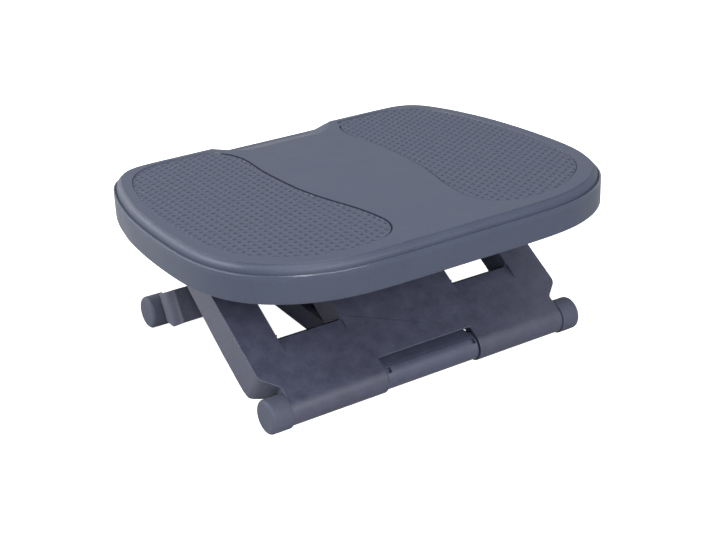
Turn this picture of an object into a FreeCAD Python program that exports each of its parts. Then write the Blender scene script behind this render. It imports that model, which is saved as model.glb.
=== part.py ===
import FreeCAD, Part
import Sketcher
import math
import os

from FreeCAD import Placement, Rotation, Vector

# Tilting under desk footrest.
# Two moulded leg panels cross like an X. Each has a roll along its foot with
# round rubber end caps, and a flat strut (the link) joins the two rolls and
# sets how far the legs spread. A level carrier frame hangs on the legs' top
# rods, and the foot platform tilts on the carrier's middle axis.
#
# Frame: +Z up, floor at z = 0, X across the object, +Y towards the heel edge.
# The origin is on the floor under the middle of the object's box.

doc = FreeCAD.newDocument("footrest")

# ---------------------------------------------------------------- dimensions
DIMS = [
    ("platform_width", 450.0), ("platform_depth", 350.0),
    ("skirt_height", 26.2), ("plateau_height", 34.6), ("shell_wall", 3.0),
    ("plateau_inset", 7.0), ("top_underside", 31.4), ("pad_recess", 0.8),
    ("tilt_axis_y", 3.3), ("tilt_axis_z", 149.5), ("tilt_rest", 3.84),
    ("tilt_axis_height", 14.5), ("platform_shift", -3.2),
    ("leg_angle", 30.0), ("axle_spread", 239.0), ("front_axle_y", -116.2),
    ("axle_height", 16.6), ("roll_radius", 15.0), ("roll_wall", 2.8),
    ("roll_half", 159.3), ("panel_half", 175.5), ("panel_wall", 2.8),
    ("flange_depth", 24.0), ("leg_cross", 138.0), ("leg_top", 232.0),
    ("window_in", 66.5), ("window_out", 136.5), ("window_low", 66.4),
    ("window_high", 210.0), ("arm_in", 71.0), ("arm_out", 132.0),
    ("hub_gap_half", 54.5), ("gap_edge", 13.5),
    ("hub_radius", 13.0), ("hub_half", 53.3), ("link_half", 53.0),
    ("link_top", 29.6), ("link_low", 5.8), ("link_wall", 2.6),
    ("link_length", 280.0), ("slot_half", 4.35), ("notch_rise", 2.2),
    ("rod_radius", 4.0), ("rod_fit", 4.07), ("boss_radius", 8.5),
    ("spigot_radius", 11.0), ("spigot_end", 177.0),
    ("cap_radius", 16.6), ("cap_length", 21.6), ("cap_round", 3.6),
    ("rail_in", 180.0), ("inner_rail_in", 136.0), ("rail_thickness", 7.0), ("rail_half_height", 9.0),
    ("sleeve_radius", 6.0), ("sleeve_fit", 6.07), ("sleeve_slot", 6.35),
    ("hub_disc_radius", 11.0), ("bracket_in", 189.0),
    ("bracket_thickness", 5.0), ("clip_radius", 7.5), ("clip_thickness", 1.5),
]
sheet = doc.addObject("Spreadsheet::Sheet", "dims")
D = {}
for row, (name, value) in enumerate(DIMS, start=1):
    sheet.set("A%d" % row, name)
    sheet.set("B%d" % row, repr(value))
    sheet.setAlias("B%d" % row, name)
doc.recompute()
for name, value in DIMS:
    D[name] = float(sheet.get(name))

parts = []


def keep(obj, label, placement=None):
    obj.Label = label
    if placement is not None:
        obj.Placement = placement
    parts.append(obj)
    return obj


# ------------------------------------------------------------ sketch helpers
def origin_plane(body, role):
    for feature in body.Origin.OriginFeatures:
        if feature.Role == role:
            return feature
    raise RuntimeError(role)


def new_sketch(body, name, role, offset=0.0):
    sk = body.newObject("Sketcher::SketchObject", name)
    sk.AttachmentSupport = [(origin_plane(body, role), "")]
    sk.MapMode = "FlatFace"
    sk.AttachmentOffset = Placement(Vector(0, 0, offset), Rotation())
    return sk


def rounded(points):
    """Closed outline of straight edges; a third number rounds that corner."""
    n = len(points)
    ins, outs = [], []
    for i in range(n):
        p = Vector(points[i][0], points[i][1], 0)
        r = points[i][2] if len(points[i]) > 2 else 0.0
        a = Vector(points[i - 1][0], points[i - 1][1], 0)
        b = Vector(points[(i + 1) % n][0], points[(i + 1) % n][1], 0)
        if r <= 0:
            ins.append(p)
            outs.append((p, None))
            continue
        u = (a - p).normalize()
        v = (b - p).normalize()
        half = math.acos(max(-1.0, min(1.0, u.dot(v)))) / 2.0
        t = r / math.tan(half)
        p1 = p + u * t
        p2 = p + v * t
        c = p + (u + v).normalize() * (r / math.sin(half))
        m = c + (p - c).normalize() * r
        ins.append(p1)
        outs.append((p2, m))
    geo = []
    for i in range(n):
        start = ins[i]
        end, mid = outs[i]
        if mid is not None:
            geo.append(Part.Arc(start, mid, end))
        nxt = ins[(i + 1) % n]
        if (nxt - end).Length > 1e-6:
            geo.append(Part.LineSegment(end, nxt))
    return geo


def rect(x0, y0, x1, y1, r=0.0):
    return rounded([(x0, y0, r), (x1, y0, r), (x1, y1, r), (x0, y1, r)])


def spline(points):
    bs = Part.BSplineCurve()
    bs.interpolate([Vector(p[0], p[1], 0) for p in points], PeriodicFlag=True)
    return [bs]


def add_loops(sk, loops):
    for loop in loops:
        sk.addGeometry(loop, False)


def add_circle(sk, x, y, alias):
    i = sk.addGeometry(Part.Circle(Vector(x, y, 0), Vector(0, 0, 1), D[alias]), False)
    c = sk.addConstraint(Sketcher.Constraint("Radius", i, D[alias]))
    sk.setExpression("Constraints[%d]" % c, "dims.%s" % alias)


def pad(body, sk, name, length, reverse=False, midplane=False):
    f = body.newObject("PartDesign::Pad", name)
    f.Profile = sk
    f.Type = 0
    if isinstance(length, str):
        f.setExpression("Length", length)
    else:
        f.Length = length
    f.Midplane = midplane
    f.Reversed = reverse
    return f


def pocket(body, sk, name, length, reverse=False, midplane=False):
    """Sketch normal is the way out of the solid unless reverse is set."""
    f = body.newObject("PartDesign::Pocket", name)
    f.Profile = sk
    f.Type = 0
    if isinstance(length, str):
        f.setExpression("Length", length)
    else:
        f.Length = length
    f.Midplane = midplane
    f.Reversed = reverse
    return f


def volume(body):
    doc.recompute()
    return body.Shape.Volume


def revolve(label, profile, placement, bound=()):
    """Turned piece: closed (along, radius) profile spun about the X axis."""
    body = doc.addObject("PartDesign::Body", label)
    sk = new_sketch(body, label + "_profile", "XY_Plane")
    add_loops(sk, [rounded(profile)])
    f = body.newObject("PartDesign::Revolution", label + "_turn")
    f.Profile = sk
    f.ReferenceAxis = (sk, ["H_Axis"])
    f.Angle = 360.0
    return keep(body, label, placement)


def ring(name, outer, inner, length, x0, y, z):
    """Plain ring lying along X, made of two bound cylinders."""
    a = doc.addObject("Part::Cylinder", name + "_outer")
    a.setExpression("Radius", outer)
    a.setExpression("Height", length)
    b = doc.addObject("Part::Cylinder", name + "_bore")
    b.setExpression("Radius", inner)
    b.setExpression("Height", length + " + 2")
    b.Placement = Placement(Vector(0, 0, -1), Rotation())
    c = doc.addObject("Part::Cut", name)
    c.Base = a
    c.Tool = b
    c.Placement = Placement(Vector(x0, y, z), Rotation(Vector(0, 1, 0), 90))
    return c


def group(label, members, placement=None):
    g = doc.addObject("Part::Compound", label)
    g.Links = members
    return keep(g, label, placement)


# ----------------------------------------------------------- derived figures
th = math.radians(D["leg_angle"])
yf = D["front_axle_y"]
yr = yf + D["axle_spread"]
za = D["axle_height"]
cross_y = yf + D["leg_cross"] * math.cos(th)
cross_z = za + D["leg_cross"] * math.sin(th)
heel_y = yf + D["leg_top"] * math.cos(th)
toe_y = yr - D["leg_top"] * math.cos(th)
top_z = za + D["leg_top"] * math.sin(th)
front_leg_at = Placement(Vector(0, yf, za), Rotation(Vector(1, 0, 0), D["leg_angle"]))
rear_leg_at = Placement(Vector(0, yr, za), Rotation(Vector(0, 0, 1), 180).multiply(Rotation(Vector(1, 0, 0), D["leg_angle"])))
platform_at = Placement(Vector(0, D["tilt_axis_y"], D["tilt_axis_z"]), Rotation(Vector(1, 0, 0), -D["tilt_rest"]))


# ------------------------------------------------------------ platform shell
# Right half of the skirt outline, seen from above, from the middle of the toe
# edge round to the middle of the heel edge: large toe corners, sides that
# draw in towards the heel, smaller heel corners.
HALF = [
    (0, -175), (30, -175), (60, -174.9), (90, -174.2), (112, -172.5), (133.7, -168.6),
    (149.5, -163.4), (165, -156.3), (179.1, -147.3), (192.4, -135.8), (204, -121.8),
    (213.2, -104.8), (219.5, -86), (223.4, -64), (225, -39), (225, -12), (224.1, 14),
    (221.9, 42), (218.5, 68), (213.5, 91.8), (208, 113.5), (202, 131), (195.6, 145.9),
    (187.4, 158.5), (176.6, 167.5), (162.8, 172.9), (146, 174.7), (120, 175),
    (90, 175), (60, 175), (30, 175), (0, 175),
]


def full_outline(half):
    left = [(-x, y) for x, y in half[1:-1]]
    return half + left[::-1]


def inset(points, d):
    n = len(points)
    out = []
    for i in range(n):
        ax, ay = points[i - 1]
        bx, by = points[(i + 1) % n]
        tx, ty = bx - ax, by - ay
        s = math.hypot(tx, ty)
        out.append((points[i][0] - ty / s * d, points[i][1] + tx / s * d))
    return out


w0 = -D["tilt_axis_height"]
shift = D["platform_shift"]
scale_x = D["platform_width"] / 450.0
scale_y = D["platform_depth"] / 350.0
outline = [(x * scale_x, y * scale_y + shift) for x, y in full_outline(HALF)]

shell = doc.addObject("PartDesign::Body", "platform_shell")
sk = new_sketch(shell, "skirt_outline", "XY_Plane", w0)
add_loops(sk, [spline(outline)])
pad(shell, sk, "skirt", "dims.skirt_height")
sk_a = new_sketch(shell, "shoulder_foot", "XY_Plane", w0 + D["skirt_height"])
add_loops(sk_a, [spline(inset(outline, 0.8))])
sk_b = new_sketch(shell, "plateau_edge", "XY_Plane", w0 + D["plateau_height"])
add_loops(sk_b, [spline(inset(outline, D["plateau_inset"]))])
loft = shell.newObject("PartDesign::AdditiveLoft", "shoulder")
loft.Profile = sk_a
loft.Sections = [sk_b]
loft.Ruled = True
v_full = volume(shell)
# hollow underside: up to the crease near the skirt, higher under the plateau
sk = new_sketch(shell, "hollow_low", "XY_Plane", w0)
add_loops(sk, [spline(inset(outline, D["shell_wall"]))])
pocket(shell, sk, "hollow_low_cut", "dims.skirt_height - dims.shell_wall", reverse=True)
v1 = volume(shell)
sk = new_sketch(shell, "hollow_high", "XY_Plane", w0)
inner = inset(outline, 11.0)
# the hollow stays clear of the finger scoop in the heel edge
inner_hi = []
for x, y in inner:
    yl = y - shift
    if yl > 118:
        cut = 118 if abs(x) < 88 else min(yl, 118 + (abs(x) - 88) * 2.2)
        yl = min(yl, cut)
    inner_hi.append((x, yl + shift))
add_loops(sk, [rounded([(x, y) for x, y in inner_hi])])
pocket(shell, sk, "hollow_high_cut", "dims.top_underside", reverse=True)
v2 = volume(shell)
# textured foot areas, slightly recessed into the plateau
PAD = [
    (76, 156), (74, 149), (69.5, 141), (65.5, 130), (63.5, 118), (63.5, 104), (65, 90),
    (66.5, 74), (67, 56), (67, 38), (66.6, 20), (65.8, 4), (64, -10), (61.8, -24),
    (59, -37), (56, -50), (53, -62), (50.2, -75), (48.2, -89), (47, -102), (47, -114),
    (49.5, -125), (55, -135), (63.5, -143), (76, -148.5), (92, -150.5), (111, -150),
    (130, -146.5), (147, -139.5), (161, -131), (175.5, -119.5), (188, -104), (196.5, -86),
    (202, -64), (205, -38), (206, -8), (205, 20), (202.5, 46), (199, 70), (194, 94),
    (188, 115), (180, 133), (168, 148), (152, 157), (134, 160.5), (112, 161), (92, 160),
]
for side, sign in (("right", 1), ("left", -1)):
    pts = [(sign * x, y + shift) for x, y in PAD]
    if sign < 0:
        pts = pts[::-1]
    sk = new_sketch(shell, side + "_foot_area", "XY_Plane", w0 + D["plateau_height"])
    add_loops(sk, [spline(pts)])
    pocket(shell, sk, side + "_foot_recess", "dims.pad_recess")
v3 = volume(shell)
# finger scoop: a ramp from the plateau down to the crease at the heel edge
sk = new_sketch(shell, "scoop_plan", "XY_Plane", w0 + D["plateau_height"] + 1)
add_loops(sk, [rounded([(-44, 136 + shift, 6), (44, 136 + shift, 6), (58, 146 + shift, 6), (72, 163 + shift, 6),
                        (86, 190 + shift), (-86, 190 + shift), (-72, 163 + shift, 6), (-58, 146 + shift, 6)])])
pocket(shell, sk, "scoop", 4.6)
v4 = volume(shell)
# bosses under the plateau for the two tilt brackets
sk = new_sketch(shell, "bracket_bosses", "XY_Plane", w0 + D["top_underside"] - 4.0)
for sx in (-1, 1):
    for yy in (-12.0, 12.0):
        add_circle(sk, sx * 203.0, yy, "rod_radius")
pad(shell, sk, "bosses", 5.0)
sk = new_sketch(shell, "screw_holes", "XY_Plane", w0 + D["top_underside"] - 4.0)
for sx in (-1, 1):
    for yy in (-12.0, 12.0):
        sk.addGeometry(Part.Circle(Vector(sx * 203.0, yy, 0), Vector(0, 0, 1), 1.6), False)
pocket(shell, sk, "pilot_holes", 5.6, reverse=True)
# shallow stiffening ribs under the plateau
sk = new_sketch(shell, "rib_plan", "XY_Plane", w0 + D["top_underside"] - 2.8)
add_loops(sk, [rect(x - 1.1, -150 + shift, x + 1.1, 116 + shift) for x in (-150, -100, -50, 0, 50, 100, 150)])
pad(shell, sk, "ribs_along", 3.4)
sk = new_sketch(shell, "rib_plan_across", "XY_Plane", w0 + D["top_underside"] - 2.8)
add_loops(sk, [rect(-180, y - 1.1 + shift, 180, y + 1.1 + shift) for y in (-120, -70, -22, 28, 72)])
pad(shell, sk, "ribs_across", 3.4)
v5 = volume(shell)
print("platform shell volumes", [round(v / 1000.0) for v in (v_full, v1, v2, v3, v4, v5)])
keep(shell, "platform_shell", platform_at)

# --------------------------------------------------------------- leg panels
# Leg frame: X across, Y along the leg from the roll axis, Z out of the face.
R = D["roll_radius"]
flange = D["flange_depth"]


def leg_outline(half_low, half_high, step_low, step_high, d=0.0, bottom=0.0):
    """Neck between the caps, S-curve out to the full width, then the top."""
    n = D["roll_half"] - 2.8 - d if d > 0 else D["roll_half"]
    top = D["leg_top"] + D["boss_radius"] - d
    right = [(n, bottom), (n, 17.0 - d * 0.43, 5), (half_low - d, 31.4 + d * 0.46, 11 - d)]
    if half_high < half_low:
        right += [(half_low - d, step_low - d, 10), (half_high - d, step_high - d, 10)]
    right += [(half_high - d, top, 9 - d)]
    left = [(-p[0],) + tuple(p[1:]) for p in right]
    return rounded(right + left[::-1])


def make_leg(label, rear):
    body = doc.addObject("PartDesign::Body", label)
    wall = D["panel_wall"]
    half = D["panel_half"]
    high = D["arm_out"] if rear else half
    low_win, high_win = D["window_low"], D["window_high"]
    # solid block of the outline
    sk = new_sketch(body, label + "_outline", "XY_Plane", R)
    add_loops(sk, [leg_outline(half, high, 56, 62)])
    pad(body, sk, label + "_block", "dims.roll_radius + dims.flange_depth", reverse=True)
    a = volume(body)
    # hollow back, with rims left standing round the windows
    if rear:
        windows = [(-D["arm_in"], low_win, D["arm_in"], high_win)]
    else:
        windows = [(D["window_in"], low_win, D["window_out"], high_win),
                   (-D["window_out"], low_win, -D["window_in"], high_win)]
    sk = new_sketch(body, label + "_hollow", "XY_Plane", -flange)
    loops = [leg_outline(half, high, 56, 62, d=wall, bottom=0.0)]
    for x0, y0, x1, y1 in windows:
        loops.append(rect(x0 - wall, y0 - wall, x1 + wall, y1 + wall, 7.0))
    add_loops(sk, loops)
    pocket(body, sk, label + "_hollow_cut", "dims.flange_depth + dims.roll_radius - dims.panel_wall", reverse=True)
    b = volume(body)
    if not rear:
        # thickening that carries the scooped lower lip of each window
        sk = new_sketch(body, label + "_lip_profile", "YZ_Plane", D["window_in"] - wall)
        add_loops(sk, [rounded([(43, R - 1), (43, R - wall), (67, R - 9.0), (67, R - 1)])])
        pad(body, sk, label + "_lip_right", D["window_out"] - D["window_in"] + 2 * wall)
        sk = new_sketch(body, label + "_lip_profile_left", "YZ_Plane", -D["window_out"] - wall)
        add_loops(sk, [rounded([(43, R - 1), (43, R - wall), (67, R - 9.0), (67, R - 1)])])
        pad(body, sk, label + "_lip_left", D["window_out"] - D["window_in"] + 2 * wall)
        c = volume(body)
    # windows right through
    sk = new_sketch(body, label + "_windows", "XY_Plane", R + 1)
    add_loops(sk, [rect(x0, y0, x1, y1, 4.0 if rear else 2.0) for x0, y0, x1, y1 in windows])
    pocket(body, sk, label + "_window_cut", "dims.flange_depth + dims.roll_radius + 2")
    d = volume(body)
    # side silhouette: rounded toe of the flange, tapering back edge, top eyes
    sk = new_sketch(body, label + "_silhouette", "YZ_Plane")
    t = D["leg_top"]
    br = D["boss_radius"]
    outer = rect(-60, -60, t + 60, 60)
    edge = [(-1, R), (216, R, 10), (t + br + 0.2, 3.0, 8), (t + br + 0.2, -br - 0.2, 8), (t - 14, -br - 0.2, 10),
            (t - 24, -17.2, 8), (84, -16.5, 40), (45.5, -20.8, 7), (34, -14.4, 12), (22.2, -3.0, 6), (15.2, 6.0, 4), (-1, 6.0)]
    add_loops(sk, [outer, rounded(edge)])
    pocket(body, sk, label + "_silhouette_cut", 2 * half + 10, midplane=True)
    e = volume(body)
    if rear:
        # the middle window's lower rim stays shallow above the link
        sk = new_sketch(body, label + "_shallow_rim", "YZ_Plane")
        add_loops(sk, [rect(55, -30, low_win + 2, 8.6)])
        pocket(body, sk, label + "_shallow_rim_cut", 2 * (D["arm_in"] - 1.0), midplane=True)
    # roll with its end spigots
    sk = new_sketch(body, label + "_roll_ring", "YZ_Plane")
    add_circle(sk, 0, 0, "roll_radius")
    i = sk.addGeometry(Part.Circle(Vector(0, 0, 0), Vector(0, 0, 1), R - D["roll_wall"]), False)
    k = sk.addConstraint(Sketcher.Constraint("Radius", i, R - D["roll_wall"]))
    sk.setExpression("Constraints[%d]" % k, "dims.roll_radius - dims.roll_wall")
    pad(body, sk, label + "_roll", "2 * dims.roll_half", midplane=True)
    g = volume(body)
    # opening along the back of the roll, between its end webs
    sk = new_sketch(body, label + "_roll_back", "YZ_Plane")
    add_loops(sk, [rounded([(0, -R + 3.4), (20, -R + 3.4), (20, R - D["panel_wall"] - 0.2), (0, R - D["panel_wall"] - 0.2)])])
    pocket(body, sk, label + "_roll_back_cut", 2 * 141.0, midplane=True)
    # webs inside the roll
    for n_web, (x0, x1) in enumerate(((54.5, 57.5), (97.0, 99.6), (139.0, 142.0))):
        for sign in (1, -1):
            sk = new_sketch(body, "%s_web_%d_%s" % (label, n_web, "r" if sign > 0 else "l"), "YZ_Plane", x0 if sign > 0 else -x1)
            i = sk.addGeometry(Part.Circle(Vector(0, 0, 0), Vector(0, 0, 1), R - 2.0), False)
            pad(body, sk, sk.Name + "_pad", x1 - x0)
    # end web and spigot for the cap, turned as one profile
    for sign in (1, -1):
        sk = new_sketch(body, "%s_spigot_%s" % (label, "r" if sign > 0 else "l"), "XY_Plane")
        sp, rh_ = D["spigot_radius"], D["roll_half"]
        prof = [(155.5, 0), (155.5, R - 1.5), (rh_, R - 1.5), (rh_, sp), (D["spigot_end"], sp), (D["spigot_end"], 0)]
        add_loops(sk, [rounded([(sign * a, r_) for a, r_ in prof])])
        f = body.newObject("PartDesign::Revolution", sk.Name + "_turn")
        f.Profile = sk
        f.ReferenceAxis = (sk, ["H_Axis"])
        f.Angle = 360.0
    # eyes for the top rod and for the cross rod
    walls = [(D["panel_half"], -1), (D["window_out"] + wall, 1), (D["window_in"], -1)] if not rear else \
            [(D["arm_out"], -1), (D["arm_in"] + wall, 1)]
    for n_boss, (x, direction) in enumerate(walls):
        for sign in (1, -1):
            x0, x1 = (x - 12.0, x) if direction < 0 else (x - wall, x + 6.0)
            lo = x0 if sign > 0 else -x1
            for tag, yy in (("top", D["leg_top"]), ("cross", D["leg_cross"])):
                if tag == "cross" and not rear and n_boss == 0:
                    continue
                sk = new_sketch(body, "%s_%s_eye_%d_%s" % (label, tag, n_boss, "r" if sign > 0 else "l"), "YZ_Plane", lo)
                add_circle(sk, yy, 0, "boss_radius" if tag == "top" else "boss_radius")
                pad(body, sk, sk.Name + "_pad", x1 - x0)
    # ribs on the back of the face, clear of the link
    sk = new_sketch(body, label + "_ribs", "XY_Plane", R - 1)
    cols = (78, 102, 126, 150)
    add_loops(sk, [rect(s * x - 1.1, 12, s * x + 1.1, 62) for x in cols for s in (1, -1)])
    pad(body, sk, label + "_ribs_pad", 15.0, reverse=True)
    if not rear:
        # short ribs that close the ends of the hub gap
        sk = new_sketch(body, label + "_gap_ribs", "XY_Plane", R - 1)
        add_loops(sk, [rect(s * 59.8 - 1.1, 12, s * 59.8 + 1.1, 62) for s in (1, -1)])
        pad(body, sk, label + "_gap_ribs_pad", 15.0, reverse=True)
    if rear:
        sk = new_sketch(body, label + "_arm_ribs", "XY_Plane", R - 1)
        add_loops(sk, [rect(x0, y - 1.1, x1, y + 1.1) for y in (66, 104, 172, 204) for x0, x1 in ((72, 131), (-131, -72))])
        pad(body, sk, label + "_arm_ribs_pad", 22.0, reverse=True)
    else:
        sk = new_sketch(body, label + "_rail_ribs", "XY_Plane", R - 1)
        add_loops(sk, [rect(x0, y - 1.1, x1, y + 1.1) for y in (66, 104, 172, 204) for x0, x1 in ((138, 174), (-174, -138))])
        add_loops(sk, [rect(-65, y - 1.1, 65, y + 1.1) for y in (104, 172)])
        pad(body, sk, label + "_rail_ribs_pad", 22.0, reverse=True)
        # shallow scoop leading into the lower edge of each window
        for tag, x0, x1 in (("right", 66.5, 136.5), ("left", -136.5, -66.5)):
            sk = new_sketch(body, label + "_scoop_profile_" + tag, "YZ_Plane", x0)
            add_loops(sk, [rounded([(47.5, R), (47.5, R + 2), (68, R + 2), (68, R - 4.4)])])
            pocket(body, sk, label + "_scoop_" + tag, x1 - x0, reverse=True)
    # bores for the three rods; the cross rod ends inside the outer walls
    sk = new_sketch(body, label + "_bores", "YZ_Plane")
    for yy in (0.0, D["leg_top"]):
        add_circle(sk, yy, 0, "rod_fit")
    pocket(body, sk, label + "_bore_cut", 2 * D["spigot_end"] + 8, midplane=True)
    sk = new_sketch(body, label + "_cross_bore", "YZ_Plane")
    add_circle(sk, D["leg_cross"], 0, "rod_fit")
    pocket(body, sk, label + "_cross_bore_cut", 2 * 149.0, midplane=True)
    # gap in the middle of the roll for the link's hub
    sk = new_sketch(body, label + "_hub_gap", "XY_Plane", R + 1)
    add_loops(sk, [rounded([(-D["hub_gap_half"], -R - 3), (D["hub_gap_half"], -R - 3),
                            (D["hub_gap_half"], D["gap_edge"], 1.6), (-D["hub_gap_half"], D["gap_edge"], 1.6)])])
    pocket(body, sk, label + "_hub_gap_cut", 2 * R + 12)
    z = volume(body)
    print(label, "volumes", [round(v / 1000.0, 1) for v in (a, b, d, e, g, z)], "solids", len(body.Shape.Solids))
    return body


keep(make_leg("front_leg", False), "front_leg", front_leg_at)
keep(make_leg("rear_leg", True), "rear_leg", rear_leg_at)

# --------------------------------------------------------------------- link
# Link frame: origin on the front axle axis, Y towards the rear axle.
link = doc.addObject("PartDesign::Body", "base_link")
lt = D["link_top"] - za
ll = D["link_low"] - za
length = D["link_length"]
sk = new_sketch(link, "link_side", "YZ_Plane")
add_loops(sk, [rounded([(0, lt), (length, lt, 6), (length, ll + 4, 8), (length - 12, ll, 6), (0, ll)])])
pad(link, sk, "link_block", "2 * dims.link_half", midplane=True)
sk = new_sketch(link, "link_hub", "YZ_Plane")
add_circle(sk, 0, 0, "hub_radius")
pad(link, sk, "link_hub_pad", "2 * dims.hub_half", midplane=True)
v1 = volume(link)
# hollow underside with two full-length ribs
cells = [(-50.4, -19.1), (-16.9, 16.9), (19.1, 50.4)]
sk = new_sketch(link, "link_cells", "XY_Plane", ll - 1)
rows = [(19.0, 78.0), (80.2, 142.0), (144.2, 206.0), (208.2, length - 2.6)]
add_loops(sk, [rect(x0, y0, x1, y1, 2.0) for x0, x1 in cells for y0, y1 in rows])
pocket(link, sk, "link_cell_cut", lt - ll + 1 - D["link_wall"], reverse=True)
v2 = volume(link)
# long slot for the rear axle, with three seats in its upper edge
sh_ = D["slot_half"]
s_rest = D["axle_spread"]
s_mid = 2 * D["leg_cross"] * math.cos(math.radians(23.0))
s_low = 2 * D["leg_cross"] * math.cos(math.radians(15.5))
sk = new_sketch(link, "link_slot", "YZ_Plane")
add_loops(sk, [rect(s_rest - sh_, -sh_, s_low + sh_, sh_, sh_ - 0.05)])
pocket(link, sk, "link_slot_cut", 2 * D["link_half"] + 4, midplane=True)
for tag, yy in (("high", s_rest), ("middle", s_mid), ("low", s_low)):
    sk = new_sketch(link, "link_seat_" + tag, "YZ_Plane")
    add_circle(sk, yy, D["notch_rise"], "slot_half")
    pocket(link, sk, "link_seat_cut_" + tag, 2 * D["link_half"] + 4, midplane=True)
# bore of the hub, wider where the bushes sit
sk = new_sketch(link, "link_bore", "YZ_Plane")
add_circle(sk, 0, 0, "rod_fit")
pocket(link, sk, "link_bore_cut", 2 * D["hub_half"] + 6, midplane=True)
for sign in (1, -1):
    sk = new_sketch(link, "bush_seat_" + ("r" if sign > 0 else "l"), "YZ_Plane", 40.5 if sign > 0 else -54.5)
    add_circle(sk, 0, 0, "sleeve_fit")
    pocket(link, sk, sk.Name + "_cut", 14.0, reverse=True)
# small latch notch near each end of the hub
for tag, x0 in (("right", 47.6), ("left", -51.8)):
    sk = new_sketch(link, "hub_notch_" + tag, "YZ_Plane", x0)
    add_loops(sk, [rounded([(-r_ * math.cos(math.radians(a_)), r_ * math.sin(math.radians(a_))) for r_, a_ in ((9.2, 40), (15.0, 43), (15.0, 68), (9.2, 71))])])
    pocket(link, sk, sk.Name + "_cut", 4.2, reverse=True)
v3 = volume(link)
print("base_link volumes", [round(v / 1000.0, 1) for v in (v1, v2, v3)], "solids", len(link.Shape.Solids))
keep(link, "base_link", Placement(Vector(0, yf, za), Rotation()))

bush_a = ring("hub_bush_left", "dims.sleeve_radius", "dims.rod_fit", "13.6", -54.2, yf, za)
bush_b = ring("hub_bush_right", "dims.sleeve_radius", "dims.rod_fit", "13.6", 40.6, yf, za)
group("hub_bushings", [bush_a, bush_b])


# --------------------------------------------------------------------- rods
def rod(label, half_length, y, z):
    body = doc.addObject("PartDesign::Body", label)
    r = D["rod_radius"]
    sk = new_sketch(body, label + "_profile", "XY_Plane")
    add_loops(sk, [rounded([(-half_length, 0), (half_length, 0), (half_length, r - 0.6), (half_length - 0.6, r),
                            (-half_length + 0.6, r), (-half_length, r - 0.6)])])
    f = body.newObject("PartDesign::Revolution", label + "_turn")
    f.Profile = sk
    f.ReferenceAxis = (sk, ["H_Axis"])
    f.Angle = 360.0
    return keep(body, label, Placement(Vector(0, y, z), Rotation()))


rod("front_axle_rod", D["spigot_end"] - 1.0, yf, za)
rod("rear_axle_rod", D["spigot_end"] - 1.0, yr, za)
rod("cross_pivot_rod", 148.0, cross_y, cross_z)
rod("heel_rod", 191.0, heel_y, top_z)
rod("toe_rod", 148.0, toe_y, top_z)


def clips(label, x_in, y, z):
    left = ring(label + "_left", "dims.clip_radius", "dims.rod_radius + 0.02", "dims.clip_thickness", -x_in - D["clip_thickness"], y, z)
    right = ring(label + "_right", "dims.clip_radius", "dims.rod_radius + 0.02", "dims.clip_thickness", x_in, y, z)
    return group(label, [left, right])


clips("cross_rod_clips", 145.8, cross_y, cross_z)
clips("heel_rod_clips", 188.6, heel_y, top_z)
clips("toe_rod_clips", 144.9, toe_y, top_z)


def sleeves(label, x_in, y, z):
    left = ring(label + "_left", "dims.sleeve_radius", "dims.rod_radius + 0.03", "11.0", -x_in - 11.0, y, z)
    right = ring(label + "_right", "dims.sleeve_radius", "dims.rod_radius + 0.03", "11.0", x_in, y, z)
    return group(label, [left, right])


sleeves("heel_rod_sleeves", 177.4, heel_y, top_z)
sleeves("toe_rod_sleeves", 133.7, toe_y, top_z)

# ----------------------------------------------------------------- end caps
# Cup-shaped rubber feet pushed over the spigots; rounded outer edge.
cr, cl, rd = D["cap_radius"], D["cap_length"], D["cap_round"]
bore = D["spigot_radius"] + 0.03
depth = D["spigot_end"] - 159.4 + 0.4
CAP = [(0, bore), (0, cr - 0.8), (0.8, cr), (cl, cr, rd), (cl, 0), (depth, 0), (depth, bore)]
for label, sign, y in (("front_left_cap", -1, yf), ("front_right_cap", 1, yf), ("rear_left_cap", -1, yr), ("rear_right_cap", 1, yr)):
    turn = Rotation() if sign > 0 else Rotation(Vector(0, 0, 1), 180)
    revolve(label, CAP, Placement(Vector(sign * 159.4, y, za), turn))

# ------------------------------------------------------------- tilt carrier
# Level frame, wide at the heel and narrower at the toe: outer rails beside the
# front leg, a cross wall on each side, inner rails beside the rear leg's arms,
# and a tie bar at each end. The outer rails carry the platform's tilt pivots.
car = doc.addObject("PartDesign::Body", "tilt_carrier")
rh = D["rail_half_height"]
heel = heel_y
toe_far = heel_y - 2 * (D["leg_top"] - D["leg_cross"]) * math.cos(math.radians(15.5))
ty, tz = D["tilt_axis_y"], D["tilt_axis_z"]
wall_y = -34.0
side = [
    (heel + 20.3, top_z - 11.6, 2), (heel + 20.3, top_z + 1.4, 4), (heel + 9, top_z + 5.5, 5), (heel - 4, top_z + rh, 10),
    (ty + 26, top_z + rh, 10), (ty + 12, tz + 6, 6), (ty + 8, tz + 11, 6), (ty - 8, tz + 11, 6), (ty - 12, tz + 6, 6), (ty - 26, top_z + rh, 6),
    (wall_y, top_z + rh, 3), (wall_y, top_z - rh, 3), (heel + 6, top_z - rh, 5),
]
toe_side = [
    (wall_y + 8, top_z - rh, 2), (wall_y + 8, top_z + rh, 2), (toe_far + 14, top_z + rh, 8), (toe_far + 4, top_z + 12, 6),
    (toe_far - 18, top_z + 12, 2), (toe_far - 18, top_z + 1.8, 2), (toe_far - 10.2, top_z - 1.4, 2), (toe_far - 10.2, top_z - rh, 8),
]
ri, rt, inner_in = D["rail_in"], D["rail_thickness"], D["inner_rail_in"]
TIES = [("heel_tie", heel + 12.3, top_z - 11.6, heel + 20.3, top_z + 1.4, ri + rt),
        ("toe_tie", toe_far - 18.0, top_z + 1.8, toe_far - 10.6, top_z + 12.0, inner_in + rt)]
sk = new_sketch(car, "rail_right", "YZ_Plane", ri)
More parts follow.
